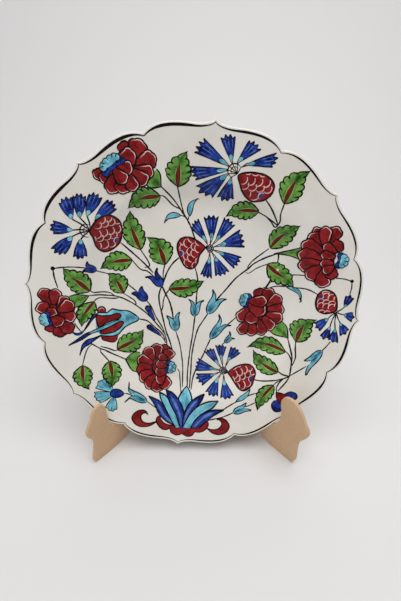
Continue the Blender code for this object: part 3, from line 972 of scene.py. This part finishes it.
# blue and turquoise blades that spring from the foot of the spray
footBlades = (
    ("blue", ((-6, -130), (-14, -126.5), (-21.5, -120), (-26.5, -111.5), (-33.2, -103)),
     ((-4, -131), (-8.5, -124), (-15, -115.5), (-21.5, -108), (-33.2, -103))),
    ("turquoise", ((-4, -132.5), (-10.5, -123), (-17, -112), (-21.5, -104.5), (-23.4, -99)),
     ((1, -131.5), (-3.5, -121), (-9.5, -110.5), (-16, -102.5), (-23.4, -99))),
    ("blue", ((0, -131), (-4.5, -120), (-10.5, -110.5), (-15, -102.5), (-17, -97)),
     ((3.4, -128), (2.6, -117), (-2, -107), (-9, -100), (-17, -97))),
    ("turquoise", ((2.6, -116), (-2, -109), (-4.2, -103.6), (-1.5, -97.5), (2.7, -92.5)),
     ((3.2, -116), (7.4, -109), (9, -103.6), (6.6, -97.5), (2.7, -92.5))),
    ("blue", ((2.6, -130), (3.4, -118), (6.5, -107.5), (12.5, -101.5), (20.8, -97)),
     ((5, -128), (8.5, -118.5), (14, -110), (18.5, -103), (20.8, -97))),
    ("turquoise", ((3, -131.5), (7, -121), (13.5, -111), (23, -104), (34.9, -101)),
     ((11, -131.5), (14, -124), (21, -115.5), (29.5, -109), (34.9, -101))),
    ("blue", ((11, -130), (15, -122.5), (21, -116), (30, -111), (41.4, -109)),
     ((19, -130), (24, -124.5), (29, -119), (35, -113.5), (41.4, -109))),
)
cloudBand = (
    (((-32, -122), (-34.6, -118.5), (-39, -117.6), (-44.6, -120.3), (-47.4, -125.5), (-45.5, -130.3),
      (-40.5, -134), (-34, -134.2), (-28, -132), (-23, -128)),
     ((-32, -122), (-34.2, -120.4), (-36.8, -120.6), (-38.8, -123), (-38.6, -126.5), (-36.4, -129),
      (-33.5, -130.3), (-30, -130.3), (-26.5, -129.4), (-23, -128))),
    (((35.7, -119.8), (40.7, -117.6), (45.9, -120), (48.8, -125), (47.2, -130.3), (42, -134),
      (35.5, -134.6), (31, -132.8), (27.5, -130)),
     ((35.7, -119.8), (38.8, -120), (41.2, -122.6), (40.9, -126), (38.4, -128.8), (35, -130.2),
      (32, -130.4), (29.6, -130.2), (27.5, -130))),
)
cloudScallops = (
    ((-19.5, -120.5), (-23.4, -125), (-22.3, -130), (-18.7, -134.2), (-14, -135.8), (-9.5, -134.2)),
    ((-9.5, -134.2), (-7.6, -138), (-2.5, -140), (3.2, -138)),
    ((3.2, -138), (8.5, -140.2), (13.2, -138.6), (15.4, -135)),
    ((15.4, -135), (21, -134.6), (26, -131.2), (28, -126), (26, -121.5)),
)


def paintFoot():
    fan("blue", ((-7, -129.5), (-3, -122), (3, -116), (9, -122), (15, -129.5), (4, -133.4)), 15)
    for (ink, left, right), level in zip(footBlades, (19, 23, 27, 16, 31, 35, 39)):
        loft(ink, left, right, level)
        spine = [tuple(np.array(a) * 0.55 + np.array(b) * 0.45) for a, b in zip(left, right)]
        ribbon("paleBlue" if ink == "blue" else "paleTeal", spine[:4], 2.4, level + 1, ends=(0.6, 0.1))
        for edge in (left, right):
            ribbon("line", edge, 1.35, level + 2, ends=(0.9, 0.9))
    for outer, inner in cloudBand:
        drawnShape("red", outer, inner, 6, 1.1)
    inside = ((-19.5, -120.5), (-19.5, -125), (-14.5, -129.5), (-8, -130.5), (0, -131.5), (8, -131.5),
              (16, -130.2), (21.5, -127.5), (24.3, -124), (26, -121.5))
    outside = [point for scallop in cloudScallops for point in scallop]
    loft("red", outside, inside, 6)
    for scallop in cloudScallops:
        ribbon("line", scallop, 1.1, 7, ends=(0.8, 0.8))
    ribbon("line", inside, 0.9, 7)


def paintTulip():
    crown = ((-50, -27), (-54, -24.4), (-60.4, -21.6), (-68.8, -21.8), (-75, -21.2), (-78, -23.4),
             (-81, -25.6), (-87, -25.8), (-90, -27.4))
    fan("red", ((-83.5, -47), (-82, -51), (-77.5, -52.8), (-72, -54), (-69.2, -51), (-69, -46),
                (-76, -45)), 4, smooth=True)
    ribbon("line", ((-84, -46), (-82, -51), (-77.5, -52.8), (-72, -54), (-69.2, -51), (-68.6, -46)), 1.0, 5)
    disc("red", (-85, -23.4), 3.6, 4, 1.0)
    ribbon("white", ringPoints((-85, -23.6), 2.4, 20, 160, steps=6), 0.7, 6)
    loft("turquoise", crown, ((-50, -30), (-57.6, -34.4), (-62, -38), (-65.4, -42), (-68.6, -46),
                              (-74, -48), (-80, -47.8), (-83.5, -46.6), (-88, -43)), 6)
    ribbon("line", crown, 1.2, 10)
    ribbon("line", ((-50, -27), (-51, -30), (-57.6, -34.4), (-62, -38), (-65.4, -42), (-68.6, -46.2),
                    (-74, -48.2), (-80, -48), (-84, -46.8)), 1.2, 10)
    upper = ((-88.7, -28), (-84, -28.8), (-80.6, -28.4), (-76.4, -27.7), (-72, -25.4), (-68, -25.3),
             (-66.8, -27.8), (-70, -30.6), (-76.4, -33.8), (-81.3, -36.5), (-85.6, -39.6), (-87.6, -36),
             (-88.8, -32))
    lower = ((-84.6, -43.4), (-77.8, -39.9), (-71.5, -35.8), (-67.4, -33), (-64, -33), (-64.8, -36),
             (-67.4, -39.9), (-71.5, -43.4), (-76.4, -45.5), (-82.2, -45.8))
    for lobe in (upper, lower):
        drawnPatch("red", lobe, 8, 1.2, lift=2)
    drawnShape("turquoise", ((-68, -31), (-76, -35.4), (-83, -38.6), (-89.6, -41.6), (-96, -45.2)),
               ((-68, -33), (-76, -38.6), (-83, -42), (-90, -44), (-96, -45.2)), 9, 0.9)
    tails = (
        (((-88, -26.5), (-92.5, -32.5), (-96, -39), (-100, -43), (-104.5, -44.6), (-109, -42.8)),
         ((-91, -27), (-94.5, -33), (-97.6, -40.5), (-101, -45.4), (-105, -46), (-109, -42.8))),
        (((-90, -42.6), (-95.5, -44), (-100.5, -47.6), (-105.6, -52), (-111, -56.6)),
         ((-90, -43.6), (-95, -47), (-100, -50.6), (-105, -53.4), (-111, -56.6))),
        (((-83.3, -46.4), (-88.4, -48.6), (-94.4, -50.4), (-98.6, -55), (-99.8, -60), (-100.6, -66)),
         ((-83.3, -47.4), (-88.4, -50.6), (-92.6, -54.4), (-96.6, -57.4), (-99, -61), (-100.6, -66))),
    )
    for left, right in tails:
        drawnShape("blue", left, right, 7, 1.1)


def paintSmallFlowers():
    # lower left: three turquoise petals in a blue cup
    for base, tips in (((-69, -99.5), ((-84.5, -98), (-82.5, -91), (-77, -88.5), (-70.5, -92.5))),
                       ((-68.5, -103.5), ((-85.5, -102), (-84.5, -108), (-79, -112.5))),
                       ((-66.5, -107), ((-73.5, -117), (-68, -121), (-62.5, -118.5)))):
        cornPetal(None, base, tips, 4, half=1.8, teeth=4, ink="turquoise", depth=0.09)
    calyx = ((-57.5, -102.5), (-61, -99), (-65.5, -98.2), (-69.5, -100), (-70, -104.5), (-66, -106.5),
             (-61, -105.6))
    drawnPatch("blue", calyx, 7, 1.1)
    # lower right: red cup, blue petals beside the stand
    drawnPatch("blue", ((96, -85), (102, -80), (107.5, -81), (109, -85), (105, -88), (99, -87)), 4, 1.0)
    drawnPatch("blue", ((92.5, -91), (88, -92.5), (86.5, -97.5), (90.5, -102.5), (96.5, -100.5),
                        (97, -94)), 4, 1.0)
    drawnShape("red", ((88.6, -83), (95.6, -83.4), (101, -85)), ((88.8, -83.4), (91, -90.4), (97, -94)), 6,
               1.0)
    blade("blue", (100, -93), (109, -98), 7, 0.05, 4)


blades = (
    ("turquoise", (-12.5, 72), (-10, 88), 4.6, -0.08, 2.6),
    ("turquoise", (-20, 72), (-34.5, 67.5), 4.6, 0.1, -2.6),
    ("turquoise", (83, 19), (98.5, 12), 3.6, -0.14, 3.4),
    ("turquoise", (52, -99), (65, -85.5), 4.2, 0.05, -1.4),
)
dots = ((-125.7, 15.4, 1.9), (134.5, 35, 1.6))
stems = (
    (1.0, ((-39, 95), (-30, 87), (-20, 76), (-12, 66), (-6, 54), (-4, 52))),
    (0.9, ((-25, 96), (-22, 85), (-19, 77), (-16.5, 71.5))),
    (0.9, ((-39, 87), (-35, 86), (-28, 80), (-22, 77.5), (-19, 75))),
    (0.9, ((-13, 72), (-13.5, 68), (-11, 64))), (0.9, ((-20, 72), (-16, 71), (-13, 67))),
    (1.1, ((68, 48), (60, 44), (50, 37), (45, 31.5), (36, 22), (28, 10), (21, -1), (15.5, -13))),
    (0.9, ((61, 52), (50, 41.5), (45.5, 35), (45, 32))), (0.7, ((62, 38), (53, 33), (47, 28), (44, 28))),
    (1.0, ((70, 50), (71, 45), (71, 41))), (1.0, ((68, 27), (65, 17), (62, 16))),
    (0.9, ((64, 16.5), (67, 21), (75, 26.5), (85.5, 31), (96, 33.5))),
    (0.9, ((66, 15), (72, 18), (83, 19.5), (90, 20), (100, 21), (110, 18))),
    (1.0, ((53, 80), (58, 76), (62, 72), (64, 74))), (0.9, ((46, 83), (53, 80), (60, 76), (64, 73.5))),
    (1.0, ((65, 93), (64, 84), (65, 78), (64, 74))), (1.0, ((47.5, 96), (55, 88), (62, 78), (64, 74))),
    (1.0, ((-2.5, 27), (0, 20), (1.5, 12), (2, -2), (2.6, -20), (2.4, -34), (2.0, -48.3), (1.5, -65),
           (2.0, -80), (3.1, -94))),
    (1.1, ((-18, 34.5), (-23, 29), (-27, 21), (-29.5, 12), (-31.4, 6), (-33, -3), (-30.8, -14),
           (-27.1, -26), (-23, -38), (-18.6, -48.3), (-15, -58))),
    (0.9, ((-30, 27), (-31, 18), (-30, 9))),
    (0.9, ((-24, 4), (-27.2, -2), (-28.4, -8), (-28.4, -14), (-29.6, -18.4))),
    (1.2, ((-31, 6.2), (-26.8, -0.8), (-22.4, -8.7), (-18.8, -19.1), (-17.4, -25))),
    (1.1, ((-71, 42), (-58, 33), (-48, 25), (-40, 18))),
    (0.9, ((-53, 38), (-46, 29), (-44, 24), (-48, 22))),
    (0.9, ((-60, 27.5), (-52, 20), (-46, 19), (-41, 16), (-36, 12))),
    (0.9,
     ((-43.9, -9.5), (-39.2, -15.1), (-34.1, -24.1), (-28, -33), (-24.7, -39.4), (-21.8, -48), (-21, -52))),
    (0.8, ((-27.7, -43), (-24.5, -46.5), (-22.4, -50))),
    (0.9, ((-14, -36.2), (-11, -44), (-8.2, -52), (-5.6, -62), (-3.9, -71), (-1.4, -94))),
    (1.0, ((14.4, -15.4), (10, -24.5), (6.7, -33), (4.5, -48), (4.2, -64.5), (4.9, -78), (5.6, -94))),
    (1.0, ((20.1, -40.4), (17.2, -50), (15.3, -57.7), (12, -67), (9.8, -74), (7.8, -84.7), (7.2, -95))),
    (0.8, ((34.1, -43), (31.5, -46))),
    (1.0, ((-96, -9), (-83, -8.4), (-75, -8), (-67, -9.3), (-59.9, -12), (-54, -14.6), (-45, -20.5),
           (-35.2, -28.9), (-28.2, -36), (-25, -40))),
    (0.9, ((-95.5, -4), (-92, -6.2), (-83, -5.4), (-77.8, -5.6), (-73.6, -8))),
    (0.9, ((-66, -4.5), (-59.7, -7.9), (-55, -10.8), (-53.5, -14))),
    (0.9, ((-92, -15), (-88.9, -12), (-83, -11), (-75, -10.6), (-70, -9.6))),
    (1.0, ((-50, -28.4), (-42, -29.5), (-35.3, -34), (-29.1, -38.5), (-25.4, -42.4), (-23.4, -48))),
    (0.8, ((-107, -34.3), (-104, -39), (-100.5, -43))),
    (0.9, ((-93, -53), (-83.3, -58.9), (-79, -60.6), (-70, -65.5), (-59.5, -70.5))),
    (0.8, ((-83, -57.2), (-76.4, -59.3), (-70, -62), (-67, -61))),
    (0.8, ((-83, -59), (-82, -62.7), (-77.8, -67), (-74, -71))),
    (0.8, ((-90.3, -54.7), (-93.8, -58.6), (-96, -65), (-97.7, -76))),
    (0.9, ((-125.7, 15.4), (-117, 17), (-107, 18), (-99, 17.5))),
    (0.9, ((-92, 15), (-88, 13.6), (-81, 12.2))), (1.0, ((-125.7, 15.4), (-124.5, 7), (-121.5, -2))),
    (0.9, ((-64, 6), (-60, 3), (-54, -1))), (0.9, ((134.5, 35), (128, 36), (121, 35.5))),
    (0.9, ((134.5, 35), (135.5, 29), (135.5, 23))), (0.8, ((-34.6, -108.7), (-30, -111.6), (-24, -115))),
    (0.8, ((-57, -102), (-52.8, -102.5), (-45, -105.5), (-36, -108.4))),
    (1.1, ((92, -29), (94.8, -36.8), (97.9, -45.6), (98.7, -53.5), (98.7, -64.6))),
    (1.0, ((99, -30), (99.8, -38), (101, -46), (99.5, -54))),
    (1.0, ((91.5, -41.6), (94.8, -44), (97.9, -49.5), (98.6, -56))),
    (1.1, ((87.6, -62), (92.4, -64.4), (98.7, -65))), (0.9, ((112, -52), (105, -59), (98.7, -64.8))),
    (0.9, ((129, -24), (126.5, -29), (123.3, -34))),
    (1.0, ((66.2, -75.3), (75.7, -74.1), (86, -71.7), (94, -68), (98.7, -65))),
    (1.0, ((98.7, -65), (97, -70), (94, -75.7), (90.5, -81.5))),
    (0.9, ((94, -68), (90, -74), (88.4, -79.5), (89.5, -83))), (0.9, ((85.5, -76.5), (88, -73), (92, -70))),
    (0.9, ((73, -86.4), (63.8, -90.8), (54.3, -98), (43, -107), (38, -112))),
    (0.9, ((72, -96), (65, -101), (61, -103))), (0.9, ((51, -110.5), (42, -116), (34, -119.4), (27, -122))),
    (0.9, ((46, -10), (38, -20), (29, -31), (27, -34))),
    (0.8, ((-8.5, -76), (-6, -80), (-4, -91), (-2, -102))),
)


def paintBorder():
    # line that follows the lobes, thick along each lobe and thin at its cusps and notches
    angles = rimAngles
    spread = np.abs((angles - pi / 2 + pi / 8) % (pi / 4) - pi / 8) * 180 / pi
    inset = np.interp(spread, (0, 1, 3, 8, 14, 20, 22.5), (2.5, 2.4, 2.3, 2.4, 2.4, 2.3, 2.4))
    press = np.interp(spread, (0, 1.5, 5, 10, 17, 21, 22.5), (0.8, 0.9, 1.4, 2.2, 2.1, 1.1, 0.8))
    # the brush was fuller on the left, the upper and the right side than at the foot
    heavy = np.interp((np.degrees(angles) - plateSize["roll"]) % 360,
                      (0, 8, 20, 75, 90, 120, 170, 190, 212, 240, 300, 340, 360),
                      (1.0, 0.85, 0.68, 0.68, 0.95, 1.15, 1.1, 0.62, 0.75, 0.62, 0.7, 0.95, 1.0))
    middle = rimRadii - inset
    outer, inner = middle + press * heavy * 0.35, middle - press * heavy * 0.65

    def shape(s, t):
        turn = t * (len(angles) - 1)
        place = np.arange(len(angles))
        angle = np.interp(turn, place, angles)
        radius = np.interp(turn, place, inner) * s + np.interp(turn, place, outer) * (1 - s)
        return radius * np.cos(angle), radius * np.sin(angle)

    addStroke("line", shape, 1, 2 * (len(angles) - 1), 2)


def paintAll():
    paintBorder()
    for width, points in stems:
        ribbon("stem", points, 1.28 * width, 1, ends=(0.8, 0.8))
    for x, y, radius in dots:
        disc("line", (x, y), radius, 4)
    paintCarnations()
    paintCornflowers()
    for values in leaves:
        leaf(*values)
    for flower in bells:
        bell(*flower)
    for flower in trumpets:
        trumpet(*flower)
    for ink, base, tip, width, bend, hook in blades:
        blade(ink, base, tip, width, bend, hook=hook)
    paintFoot()
    paintTulip()
    paintSmallFlowers()
    disc("white", (72, 34), 1.3, 9)


inkMaterials = {
    "stem": inkMaterial("brownBlackLine", (12, 9, 8), (46, 38, 34), 0.45, 0.0, 0.0, 0.35),
    "line": inkMaterial("blackOutline", (5, 4, 5), (24, 21, 22), 0.35, 0.0, 0.0, 0.3),
    "red": inkMaterial("tomatoRed", (86, 7, 12), (160, 42, 45), 0.45, 0.25, 0.0, 0.3),
    "blue": inkMaterial("cobaltBlue", (2, 8, 78), (50, 82, 184), 0.5, -0.25, 0.2, 0.45),
    "paleBlue": inkMaterial("thinCobalt", (56, 82, 156), (112, 140, 196), 0.5, 0.1, 0.0, 0.4),
    "turquoise": inkMaterial("turquoiseBlue", (0, 88, 124), (144, 220, 236), 0.4, 0.2, 0.35, 0.25),
    "paleTeal": inkMaterial("thinTurquoise", (80, 172, 194), (142, 206, 218), 0.5, 0.1, 0.0, 0.3),
    "deepTeal": inkMaterial("deepTurquoise", (8, 74, 112), (36, 118, 150), 0.5, 0.1, 0.0, 0.3),
    "green": inkMaterial("copperGreen", (10, 66, 2), (122, 176, 84), 0.4, -0.2, 0.7, 0.3),
    "paleGreen": inkMaterial("thinGreen", (126, 166, 86), (166, 192, 126), 0.5, 0.0, 0.0, 0.3),
    "deepGreen": inkMaterial("thickGreen", (14, 58, 14), (44, 92, 30), 0.5, 0.0, 0.0, 0.3),
    "vein": inkMaterial("leafVein", (92, 18, 14), (124, 40, 26), 0.4, 0.1, 0.2, 0.2),
    "white": inkMaterial("bareGleam", (224, 184, 178), (244, 222, 216), 0.5, 0.1, 0.0, 0.2),
    "grey": inkMaterial("hubWash", (92, 88, 96), (190, 184, 184), 0.6, 0.1, 0.0, 0.3),
}


def layInk(name, strokes):
    deselectAll()
    bpy.ops.mesh.primitive_grid_add(x_subdivisions=1, y_subdivisions=1, size=2)
    ink = bpy.context.object
    ink.name = ink.data.name = "painted_" + name
    bpy.ops.object.mode_set(mode="EDIT")
    bpy.ops.mesh.select_all(action="SELECT")
    bpy.ops.mesh.delete(type="VERT")
    for stroke in strokes:
        bpy.ops.mesh.select_all(action="DESELECT")
        bpy.ops.mesh.primitive_grid_add(x_subdivisions=stroke["columns"], y_subdivisions=stroke["rows"],
                                        size=2)
        cage = bmesh.from_edit_mesh(ink.data)
        cage.verts.ensure_lookup_table()
        count = (stroke["columns"] + 1) * (stroke["rows"] + 1)
        fresh = cage.verts[len(cage.verts) - count:]
        grid = np.array([vertex.co for vertex in fresh])
        x, y = stroke["shape"]((grid[:, 0] + 1) / 2, (grid[:, 1] + 1) / 2)
        z = faceHeight(np.hypot(x, y)) - plateSize["deep"] + brush["ground"] + brush["step"] * stroke["level"]
        for vertex, place in zip(fresh, zip(x, y, z)):
            vertex.co = place
        cage.faces.ensure_lookup_table()
        tiles = cage.faces[len(cage.faces) - stroke["columns"] * stroke["rows"]:]
        facing = 0.0
        for tile in tiles:
            tile.normal_update()
            facing += tile.normal.z * tile.calc_area()
        if facing < 0:
            bmesh.ops.reverse_faces(cage, faces=tiles)
    bmesh.update_edit_mesh(ink.data)
    bpy.ops.mesh.select_all(action="SELECT")
    bpy.ops.mesh.remove_doubles(threshold=0.0005)
    bpy.ops.mesh.dissolve_degenerate(threshold=0.0005)
    bpy.ops.object.mode_set(mode="OBJECT")
    applyModifier(ink, "SOLIDIFY", thickness=brush["body"], offset=-1, use_even_offset=False)
    ink.data.materials.clear()
    ink.data.materials.append(inkMaterials[name])
    bpy.ops.object.shade_smooth_by_angle(angle=radians(40))
    ink.data.transform(platePlace)
    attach(ink, "plate_body")
    print("ink", name, len(strokes), "strokes", len(ink.data.polygons), "faces")


paintAll()
for inkName, inkStrokes in inks.items():
    layInk(inkName, inkStrokes)
print("painting done")


# floor, light and camera
stage = {
    "floorColour": (225, 224, 224), "floorReach": 2.4, "wallAt": 0.62, "wallHeight": 2.2, "sweep": 0.5,
    "camera": (0.0055, -0.2940, 0.1845),      # from the plate's middle
    "lens": 23.58, "down": 31.763,
    "keyPlace": (0.12, -0.2, 1.25), "keyAim": (0, 0, 0.1), "keySize": (1.3, 1.1), "keyPower": 13.6,
    "fillPlace": (-0.95, -1.0, 0.45), "fillAim": (0, 0, 0.08), "fillSize": (1.0, 1.0), "fillPower": 2.2,
    "worldColour": (1.0, 0.985, 0.975, 1.0), "worldStrength": 0.27,
}


def buildFloor():
    deselectAll()
    bpy.ops.mesh.primitive_plane_add(size=2)
    floor = bpy.context.object
    floor.name = "backdrop"
    floor.scale = (stage["floorReach"], (stage["floorReach"] + stage["wallAt"]) / 2, 1)
    floor.location = (0, (stage["wallAt"] - stage["floorReach"]) / 2, -0.0004)
    bpy.ops.object.transform_apply()
    bpy.ops.object.mode_set(mode="EDIT")
    bpy.ops.mesh.select_mode(type="EDGE")
    bpy.ops.mesh.select_all(action="DESELECT")
    cage = bmesh.from_edit_mesh(floor.data)
    for edge in cage.edges:
        edge.select = all(vertex.co.y > stage["wallAt"] - 0.001 for vertex in edge.verts)
    bmesh.update_edit_mesh(floor.data)
    bpy.ops.mesh.extrude_region_move(TRANSFORM_OT_translate={"value": (0, 0, stage["wallHeight"])})
    cage = bmesh.from_edit_mesh(floor.data)
    for edge in cage.edges:
        edge.select = all(vertex.co.y > stage["wallAt"] - 0.001 and vertex.co.z < 0.1
                          for vertex in edge.verts)
    bmesh.update_edit_mesh(floor.data)
    bpy.ops.mesh.bevel(offset=stage["sweep"], segments=24)
    bpy.ops.object.mode_set(mode="OBJECT")
    bpy.ops.object.shade_smooth()
    paper = bpy.data.materials.new("paperSweep")
    paper.use_nodes = True
    shader = paper.node_tree.nodes["Principled BSDF"]
    shader.inputs["Base Color"].default_value = linearColour(*stage["floorColour"])
    shader.inputs["Roughness"].default_value = 0.7
    floor.data.materials.append(paper)


def addLamp(name, place, aim, size, power):
    bpy.ops.object.light_add(type="AREA", location=place)
    lamp = bpy.context.object
    lamp.name = name
    lamp.data.shape = "RECTANGLE"
    lamp.data.size, lamp.data.size_y = size
    lamp.data.energy = power
    lamp.rotation_euler = (Vector(aim) - Vector(place)).to_track_quat("-Z", "Y").to_euler()


buildFloor()
deselectAll()
addLamp("topSoftbox", stage["keyPlace"], stage["keyAim"], stage["keySize"], stage["keyPower"])
addLamp("frontFill", stage["fillPlace"], stage["fillAim"], stage["fillSize"], stage["fillPower"])
world = bpy.context.scene.world or bpy.data.worlds.new("World")
bpy.context.scene.world = world
world.use_nodes = True
world.node_tree.nodes["Background"].inputs["Color"].default_value = stage["worldColour"]
world.node_tree.nodes["Background"].inputs["Strength"].default_value = stage["worldStrength"]
bpy.context.scene.view_settings.view_transform = "Standard"

bpy.ops.object.camera_add(location=plateMiddle + Vector(stage["camera"]))
camera = bpy.context.object
camera.rotation_euler = (radians(90 - stage["down"]), 0, 0)
camera.data.lens = stage["lens"]
camera.data.sensor_fit = "AUTO"
camera.data.sensor_width = 36
camera.data.clip_start = 0.01
bpy.context.scene.camera = camera
print("stage ready")
